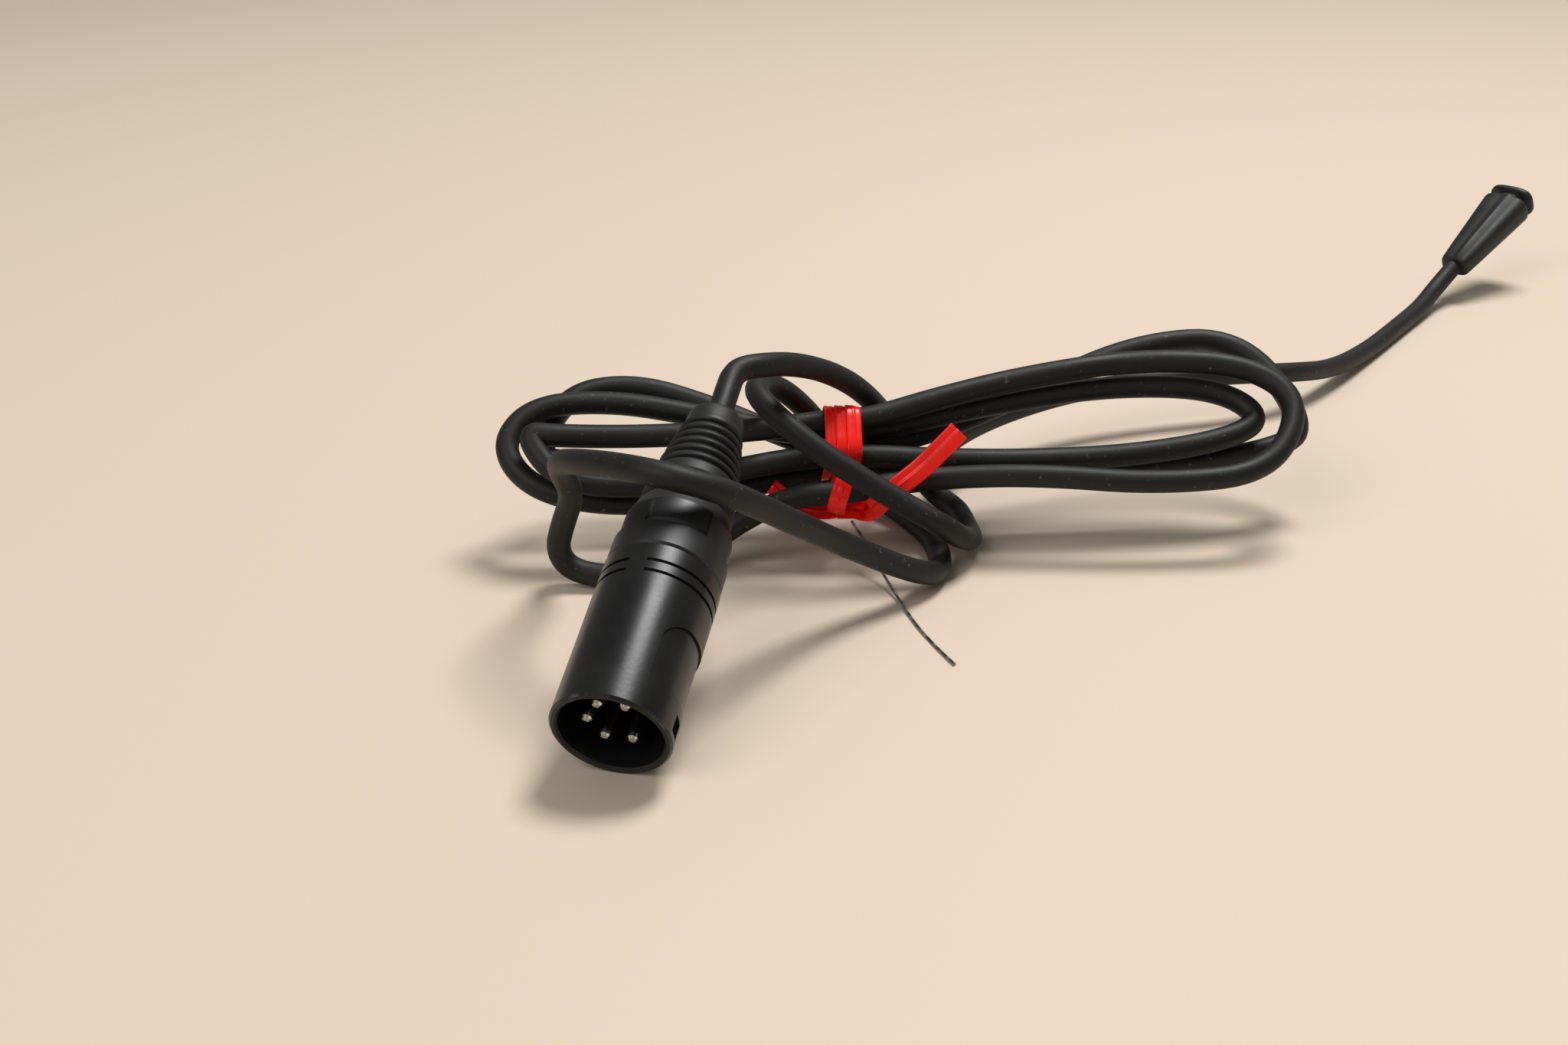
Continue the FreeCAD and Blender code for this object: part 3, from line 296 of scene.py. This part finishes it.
def make_tie_wrap():
    """Three wraps of the ribbon round the waist, on a path with rounded corners."""
    reach = CABLE_DIAMETER / 2 + TIE_THICKNESS / 2 + WRAP_SLACK
    half_rise = STRAND_RISE + reach
    low = -STRAND_PITCH * 1.5 - reach
    high = STRAND_PITCH + reach
    half_stack = (high - low) / 2
    rings = []
    for step in range(WRAP_STEPS * TURNS + 1):
        angle = 2 * pi * step / WRAP_STEPS - pi / 2
        wide, tall = cos(angle), sin(angle)
        square = (abs(wide) ** WRAP_SQUARENESS + abs(tall) ** WRAP_SQUARENESS) ** (
            -1 / WRAP_SQUARENESS)
        place = (
            WAIST + BUNDLE_WAY * (WRAP_PITCH * (step / WRAP_STEPS - TURNS / 2) + WRAP_SHIFT)
            + BUNDLE_RISE * (half_rise * square * tall)
            + BUNDLE_STACK * ((low + high) / 2 + half_stack * square * wide))
        outward = (
            BUNDLE_RISE * (tall * abs(tall) ** (WRAP_SQUARENESS - 2) / half_rise)
            + BUNDLE_STACK * (wide * abs(wide) ** (WRAP_SQUARENESS - 2) / half_stack))
        rings.append(ribbon_ring(
            WRAP_WIDTH, place, BUNDLE_WAY, outward.normalized(), WRAP_RIDGE, WRAP_TILT))
    vertices, faces = skin(rings)
    wrap = new_piece("tie_ribbon_wrap", vertices, faces, "lead")
    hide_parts("tie_wrap")
    return wrap


def make_ribbon(name, node, width, stations):
    """A stretch of ribbon through places, each with the way that its ridge faces."""
    centres = smooth_between([Vector(place) for place, facing in stations], 8)
    facings = smooth_between([Vector(facing) for place, facing in stations], 8)
    rings = []
    for i, centre in enumerate(centres):
        way = centres[min(i + 1, len(centres) - 1)] - centres[max(i - 1, 0)]
        across = facings[i].cross(way).normalized()
        outward = way.cross(across).normalized()
        rings.append(ribbon_ring(width, centre, across, outward))
    vertices, faces = skin(rings)
    ribbon = new_piece(name, vertices, faces, "lead")
    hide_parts(node)
    return ribbon


tie_wrap = make_tie_wrap()
tie_knot = make_ribbon("tie_ribbon_knot", "tie_knot", KNOT_WIDTH, [
    ((17.2, 60.7, 19.4), (0.26, -0.75, 0.6)),
    ((17.0, 58.4, 17.8), (0.3, -0.6, 0.75)),
    ((16.6, 56.1, 15.6), (0.2, -0.9, 0.4)),
    ((16.0, 55.4, 13.2), (0.0, -1.0, 0.0)),
    ((15.4, 56.6, 10.9), (-0.1, -0.8, -0.5)),
    ((15.0, 59.6, 9.2), (0.0, -0.5, -0.8)),
    ((14.9, 62.2, 8.6), (0.0, -0.3, -0.9)),
])
TAIL_FACING = (0.17, -0.91, 0.37)
tie_tail_right = make_ribbon("tie_ribbon_tail_right", "tie_tail_right", TAIL_WIDTH, [
    ((14.6, 62.7, 8.7), (0.1, -0.7, 0.7)),
    ((17.6, 62.6, 9.0), (0.1, -0.7, 0.7)),
    ((19.9, 60.6, 9.7), (0.2, -0.8, 0.5)),
    ((21.7, 58.1, 11.1), (0.3, -0.9, 0.4)),
    ((23.3, 56.6, 13.1), (0.2, -0.9, 0.4)),
    ((25.1, 56.5, 15.1), TAIL_FACING),
    ((27.4, 58.1, 16.9), TAIL_FACING),
    ((30.6, 59.8, 19.6), TAIL_FACING),
    ((33.8, 60.9, 23.1), TAIL_FACING),
    ((36.7, 61.9, 26.4), TAIL_FACING),
])
tie_tail_left = make_ribbon("tie_ribbon_tail_left", "tie_tail_left", KNOT_WIDTH, [
    ((14.8, 62.8, 8.7), (0.1, -0.7, 0.7)),
    ((12.5, 61.9, 8.3), (0.1, -0.6, 0.8)),
    ((9.9, 60.6, 8.7), (0.1, -0.6, 0.8)),
    ((7.4, 59.7, 9.8), (0.1, -0.6, 0.8)),
    ((5.0, 59.6, 11.5), (0.1, -0.5, 0.85)),
    ((2.6, 59.5, 13.4), (0.1, -0.5, 0.85)),
])


# Rubber boot: smooth front band, rounded ribs on a taper, plain collar at the cable
BOOT_FRONT = 43.7
STEM_BACK = 49.7
RIB_START = BOOT_FRONT + 7.6
RIB_PITCH = 2.05
RIB_COUNT = 6


def boot_outline():
    """(along, radius) round the boot's section, outside first."""
    outline = [(BOOT_FRONT, 7.6), (BOOT_FRONT + 0.15, 7.8), (BOOT_FRONT + 0.4, 7.9)]
    outline += [(47.7, 7.68), (48.05, 7.62), (48.2, 7.4), (48.3, 7.1), (48.55, 7.05)]
    outline += [(48.65, 7.35), (48.8, 7.5), (49.1, 7.52)]
    for number in range(RIB_COUNT):
        notch = RIB_START + number * RIB_PITCH
        radius = 7.2 - 2.1 * number / RIB_COUNT
        outline += [
            (notch - 0.6, radius + 0.1), (notch - 0.25, radius + 0.04),
            (notch - 0.05, radius - 0.15), (notch + 0.05, radius - 0.7),
            (notch + 0.2, radius - 0.95), (notch + 0.5, radius - 0.92),
            (notch + 0.65, radius - 0.45), (notch + 0.8, radius - 0.06),
            (notch + 1.1, radius + 0.04),
        ]
    outline += [
        (63.7, 5.12), (64.3, 5.05), (65.4, 4.98), (66.2, 4.88), (66.7, 4.7), (66.98, 4.4),
        (67.1, 3.9), (67.1, 2.9), (66.9, 2.55), (66.5, 2.45), (STEM_BACK, 2.45),
        (STEM_BACK, 5.8), (BOOT_FRONT, 5.8),
    ]
    return outline


boot = lathe("cable_boot", boot_outline(), "nut")
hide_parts("rubber_boot")


# Far strain relief: flattened wedge with soft corners and a ridge, then neck and flange
RELIEF_STEPS = 40
RELIEF_SQUARENESS = 3.2
RELIEF_RIDGE_HALF_WIDTH = 0.75
RELIEF_RIDGE_SHARE = 0.12


def relief_ring(centre, width, height, ridge, across, upward):
    ring = []
    for step in range(RELIEF_STEPS):
        a = 2 * pi * step / RELIEF_STEPS
        square = (abs(cos(a)) ** RELIEF_SQUARENESS + abs(sin(a)) ** RELIEF_SQUARENESS) ** (
            -1 / RELIEF_SQUARENESS)
        x = width / 2 * square * cos(a)
        z = height / 2 * square * sin(a)
        if z > 0:
            from_ridge = x - width * RELIEF_RIDGE_SHARE
            z += ridge * exp(-(from_ridge / RELIEF_RIDGE_HALF_WIDTH) ** 4)
        ring.append(centre + across * x + upward * z)
    return ring


def make_relief():
    across = RELIEF_WAY.cross(Vector((0.0, 0.0, 1.0))).normalized()
    upward = across.cross(RELIEF_WAY)
    # (along, width, height, ridge)
    stations = [
        (0.0, 6.4, 5.0, 0.1), (0.25, 7.1, 5.4, 0.3), (0.8, 7.5, 5.6, 0.6),
        (6.0, 8.6, 6.1, 0.75), (13.0, 9.9, 6.8, 0.85), (20.0, 11.2, 7.5, 0.9),
        (25.2, 12.1, 8.1, 0.9), (25.8, 12.0, 8.0, 0.85), (26.0, 11.4, 7.6, 0.6),
        (26.05, 6.6, 6.6, 0.0), (26.3, 6.4, 6.4, 0.0), (27.8, 6.4, 6.4, 0.0),
        (28.0, 6.6, 6.6, 0.0), (28.05, 11.2, 8.0, 0.0), (28.3, 11.5, 8.4, 0.0),
        (29.2, 11.5, 8.4, 0.0), (29.45, 11.2, 8.0, 0.0),
    ]
    rings = [
        relief_ring(RELIEF_SEAT + RELIEF_WAY * along, width, height, ridge, across, upward)
        for along, width, height, ridge in stations
    ]
    vertices, faces = skin(rings)
    relief = new_piece("strain_relief", vertices, faces, "lead")
    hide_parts("far_strain_relief")
    return relief


strain_relief = make_relief()


# Materials
def linear(code):
    """An sRGB hex colour as the linear colour that the shader takes."""
    channels = [int(code[i:i + 2], 16) / 255 for i in (1, 3, 5)]
    return (*(c / 12.92 if c <= 0.04045 else ((c + 0.055) / 1.055) ** 2.4 for c in channels), 1.0)


def add(tree, kind, values=None, links=None, **settings):
    """Adds a node with its settings, socket values and incoming links."""
    node = tree.nodes.new(kind)
    for name, value in settings.items():
        setattr(node, name, value)
    for name, value in (values or {}).items():
        node.inputs[name].default_value = value
    for name, source in (links or {}).items():
        tree.links.new(source, node.inputs[name])
    return node


def start_material(name):
    material = bpy.data.materials.new(name)
    material.use_nodes = True
    tree = material.node_tree
    tree.nodes.clear()
    place = add(tree, "ShaderNodeTexCoord").outputs["Object"]
    return material, tree, place


def finish_material(tree, values, links):
    shader = add(tree, "ShaderNodeBsdfPrincipled", values, links)
    add(tree, "ShaderNodeOutputMaterial", links={"Surface": shader.outputs["BSDF"]})


def per_mm(size):
    """A texture's scale for a pattern of this size in millimetres."""
    return 1000.0 / size


def noise(tree, place, size, detail=2.0, roughness=0.5):
    return add(tree, "ShaderNodeTexNoise", {
        "Scale": per_mm(size), "Detail": detail, "Roughness": roughness}, {"Vector": place})


def ramp(tree, source, stops):
    """A colour ramp with (place, hex colour) stops."""
    node = add(tree, "ShaderNodeValToRGB", links={"Fac": source})
    while len(node.color_ramp.elements) < len(stops):
        node.color_ramp.elements.new(0.5)
    for element, (place, code) in zip(node.color_ramp.elements, stops):
        element.position = place
        element.color = linear(code)
    return node.outputs["Color"]


def spread(tree, source, low, high, from_low=0.3, from_high=0.7):
    """Maps a pattern to a range of numbers."""
    return add(tree, "ShaderNodeMapRange", {
        "From Min": from_low, "From Max": from_high, "To Min": low, "To Max": high},
        {"Value": source}).outputs["Result"]


def bump(tree, source, depth, strength=1.0, under=None):
    """Relief of a depth in millimetres."""
    links = {"Height": source}
    if under is not None:
        links["Normal"] = under
    return add(tree, "ShaderNodeBump", {"Distance": depth * MM, "Strength": strength},
               links).outputs["Normal"]


def extruded_rubber():
    """Black rubber jacket, extruded: matt, uneven by soft dents, with a few specks of dust.

    The grain is drawn at 0.35 mm, coarser than the real one, so that it shows.
    """
    material, tree, place = start_material("extruded black rubber")
    tone = noise(tree, place, 14.0, 3.0)
    base = ramp(tree, tone.outputs["Fac"], [(0.3, "#131312"), (0.7, "#1B1A19")])
    dust = noise(tree, place, 1.1, 3.0)
    dusty = ramp(tree, dust.outputs["Fac"], [(0.66, "#000000"), (0.74, "#45433F")])
    colour = add(tree, "ShaderNodeMix", {"Factor": 1.0}, {}, data_type="RGBA", blend_type="ADD")
    tree.links.new(base, colour.inputs[6])
    tree.links.new(dusty, colour.inputs[7])
    grain = noise(tree, place, 0.35, 3.0)
    dents = noise(tree, place, 3.0, 2.0)
    normal = bump(tree, dents.outputs["Fac"], 0.12, 0.35)
    normal = bump(tree, grain.outputs["Fac"], 0.03, 0.5, under=normal)
    finish_material(tree, {"IOR": 1.52, "Specular IOR Level": 0.3}, {
        "Base Color": colour.outputs[2],
        "Roughness": spread(tree, tone.outputs["Fac"], 0.5, 0.62),
        "Normal": normal})
    return material


def moulded_rubber():
    """Moulded rubber of boot and relief: smoother than the jacket, with a dull sheen on the ribs.

    The grain is drawn at 0.3 mm, coarser than the real one, so that it shows.
    """
    material, tree, place = start_material("moulded black rubber")
    tone = noise(tree, place, 6.0, 3.0)
    grain = noise(tree, place, 0.3, 2.0)
    finish_material(tree, {"IOR": 1.52, "Specular IOR Level": 0.35}, {
        "Base Color": ramp(tree, tone.outputs["Fac"], [(0.3, "#141414"), (0.7, "#1D1D1D")]),
        "Roughness": spread(tree, tone.outputs["Fac"], 0.45, 0.56),
        "Normal": bump(tree, grain.outputs["Fac"], 0.02, 0.5)})
    return material


def baked_paint():
    """Black baked paint on die-cast zinc: satin, with one long highlight down the shell.

    A faint orange peel of 0.9 mm breaks the highlight. The rim's outer edge has lighter bare-metal
    spots:
    they are worn spots, and also a painted highlight for the glint on the rim's edge.
    """
    material, tree, place = start_material("black satin paint on zinc")
    tone = noise(tree, place, 9.0, 4.0)
    peel = noise(tree, place, 0.9, 1.0)
    # Lighter bare-metal spots on the rim's outer edge, broken up by noise: worn paint, and also a
    # painted highlight that stands in for the rim's glint
    chip_and_glint_noise = noise(tree, place, 1.3, 3.0)
    from_rim = add(tree, "ShaderNodeVectorMath", {1: tuple(RIM * MM)}, {0: place},
                   operation="SUBTRACT").outputs["Vector"]
    along = add(tree, "ShaderNodeVectorMath", {1: tuple(PLUG_WAY)}, {0: from_rim},
                operation="DOT_PRODUCT").outputs["Value"]
    across = add(tree, "ShaderNodeVectorMath", {1: tuple(PLUG_WAY)}, {0: from_rim},
                 operation="CROSS_PRODUCT").outputs["Vector"]
    radius = add(tree, "ShaderNodeVectorMath", {}, {0: across},
                 operation="LENGTH").outputs["Value"]
    outer = spread(tree, radius, 0.0, 1.0, 9.1 * MM, 9.25 * MM)
    front = spread(tree, along, 1.0, 0.0, 0.3 * MM, 0.5 * MM)
    edge = add(tree, "ShaderNodeMath", {}, {0: outer, 1: front}, operation="MULTIPLY")
    chip_and_glint_mask = spread(tree, chip_and_glint_noise.outputs["Fac"], 0.0, 0.5, 0.58, 0.66)
    wear_and_glint = add(tree, "ShaderNodeMath", {}, {0: edge.outputs["Value"], 1: chip_and_glint_mask},
               operation="MULTIPLY")
    paint = ramp(tree, tone.outputs["Fac"], [(0.3, "#0D0D0E"), (0.7, "#151515")])
    colour = add(
        tree, "ShaderNodeMix", {7: linear("#6B6864")}, {0: wear_and_glint.outputs["Value"], 6: paint},
        data_type="RGBA")
    finish_material(tree, {"IOR": 1.5, "Specular IOR Level": 0.4}, {
        "Base Color": colour.outputs[2],
        "Metallic": wear_and_glint.outputs["Value"],
        "Roughness": spread(tree, tone.outputs["Fac"], 0.27, 0.34),
        "Normal": bump(tree, peel.outputs["Fac"], 0.03, 0.3)})
    return material


def glossy_polyamide():
    """Glass-filled polyamide nut, moulded: black and half glossy, with a soft-edged highlight."""
    material, tree, place = start_material("black moulded polyamide")
    tone = noise(tree, place, 5.0, 3.0)
    finish_material(tree, {"IOR": 1.53}, {
        "Base Color": ramp(tree, tone.outputs["Fac"], [(0.3, "#0E0E0F"), (0.7, "#151516")]),
        "Roughness": spread(tree, tone.outputs["Fac"], 0.4, 0.48),
        "Normal": bump(tree, noise(tree, place, 0.5).outputs["Fac"], 0.02, 0.3)})
    return material


def matt_polyester():
    """Moulded polyester contact block: black and dull, so that the socket looks deep."""
    material, tree, place = start_material("black moulded polyester")
    tone = noise(tree, place, 4.0, 3.0)
    finish_material(tree, {"IOR": 1.55}, {
        "Base Color": ramp(tree, tone.outputs["Fac"], [(0.3, "#0B0B0B"), (0.7, "#111111")]),
        "Roughness": spread(tree, tone.outputs["Fac"], 0.5, 0.62)})
    return material


def silver_plate():
    """Silver plate on turned brass: bright points in the dark socket, a little tarnished."""
    material, tree, place = start_material("silver plate on brass")
    tone = noise(tree, place, 1.2, 3.0)
    finish_material(tree, {"Metallic": 1.0}, {
        "Base Color": ramp(tree, tone.outputs["Fac"], [(0.3, "#E2DED4"), (0.7, "#C9C4B9")]),
        "Roughness": spread(tree, tone.outputs["Fac"], 0.16, 0.24)})
    return material


def red_vinyl():
    """Soft PVC ribbon, calendered: bright red and glossy, with small creases from twisting."""
    material, tree, place = start_material("glossy red PVC")
    tone = noise(tree, place, 5.0, 2.0)
    crease = noise(tree, place, 1.4, 2.0)
    finish_material(tree, {"IOR": 1.53, "Specular IOR Level": 0.35}, {
        "Base Color": ramp(tree, tone.outputs["Fac"], [(0.3, "#F01008"), (0.7, "#FF1A0E")]),
        "Roughness": spread(tree, crease.outputs["Fac"], 0.24, 0.32),
        "Normal": bump(tree, crease.outputs["Fac"], 0.03, 0.2)})
    return material


def drawn_steel():
    """Drawn steel wire: a thin dull grey line with darker spots of rust."""
    material, tree, place = start_material("drawn steel wire")
    tone = noise(tree, place, 1.6, 3.0)
    finish_material(tree, {"Metallic": 0.8}, {
        "Base Color": ramp(tree, tone.outputs["Fac"], [(0.35, "#4A4644"), (0.65, "#A9A6A2")]),
        "Roughness": spread(tree, tone.outputs["Fac"], 0.35, 0.55)})
    return material


def core_insulation(name, code):
    """Extruded PVC on a core: one plain colour, half glossy."""
    material, tree, place = start_material(name)
    tone = noise(tree, place, 1.0)
    finish_material(tree, {"IOR": 1.53, "Base Color": linear(code)}, {
        "Roughness": spread(tree, tone.outputs["Fac"], 0.35, 0.5)})
    return material


def cover(thing, material):
    thing.data.materials.clear()
    thing.data.materials.append(material)


rubber_jacket = extruded_rubber()
rubber_moulding = moulded_rubber()
ribbon_red = red_vinyl()
for piece, material in (
        (lead_cable, rubber_jacket), (boot, rubber_moulding), (strain_relief, rubber_moulding),
        (tie_wrap, ribbon_red), (tie_knot, ribbon_red), (tie_tail_right, ribbon_red),
        (tie_tail_left, ribbon_red)):
    cover(piece, material)

NODE_MATERIALS = {
    "plug_shell": baked_paint(),
    "contact_insert": matt_polyester(),
    "rear_nut": glossy_polyamide(),
    "cable_chuck": matt_polyester(),
    "cable_in_plug": rubber_jacket,
    "earth_leaf": silver_plate(),
    "tie_wire": drawn_steel(),
}
pin_plate = silver_plate()
for number, code in enumerate(("#D8D6CC", "#B3231B", "#2A4F9E", "#C9A227", "#3C8246"), start=1):
    NODE_MATERIALS[f"contact_pin_{number}"] = pin_plate
    NODE_MATERIALS[f"core_{number}"] = core_insulation(f"core PVC {number}", code)
for node, material in NODE_MATERIALS.items():
    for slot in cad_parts[node].material_slots:
        slot.material = material


# Floor, world and lamps: pale plain table, soft light from behind on the right, and a weaker
# one from the front on the left
def make_stage():
    bpy.ops.mesh.primitive_plane_add(size=6.0, location=(0.0, 0.5, 0.0))
    floor = bpy.context.object
    floor.name = "table_top"
    material, tree, place = start_material("pale table")
    finish_material(tree, {"Base Color": linear("#D5C4B0"), "Roughness": 0.6}, {})
    cover(floor, material)


def make_lamp(name, place, size, power):
    data = bpy.data.lights.new(name, "AREA")
    data.shape = "DISK"
    data.size = size
    data.energy = power
    lamp = bpy.data.objects.new(name, data)
    lamp.location = place
    aim = Vector((0.03, 0.05, 0.02)) - Vector(place)
    lamp.rotation_euler = aim.to_track_quat("-Z", "Y").to_euler()
    bpy.context.scene.collection.objects.link(lamp)


def make_light():
    world = bpy.data.worlds.new("soft room")
    world.use_nodes = True
    background = world.node_tree.nodes["Background"]
    background.inputs["Color"].default_value = linear("#FAF7F2")
    background.inputs["Strength"].default_value = 0.25
    bpy.context.scene.world = world
    make_lamp("window", (0.25, 0.5, 1.15), 0.5, 14.0)
    make_lamp("room_fill", (-0.35, -0.75, 0.75), 0.8, 5.2)


make_stage()
make_light()
bpy.context.scene.view_settings.view_transform = "Standard"
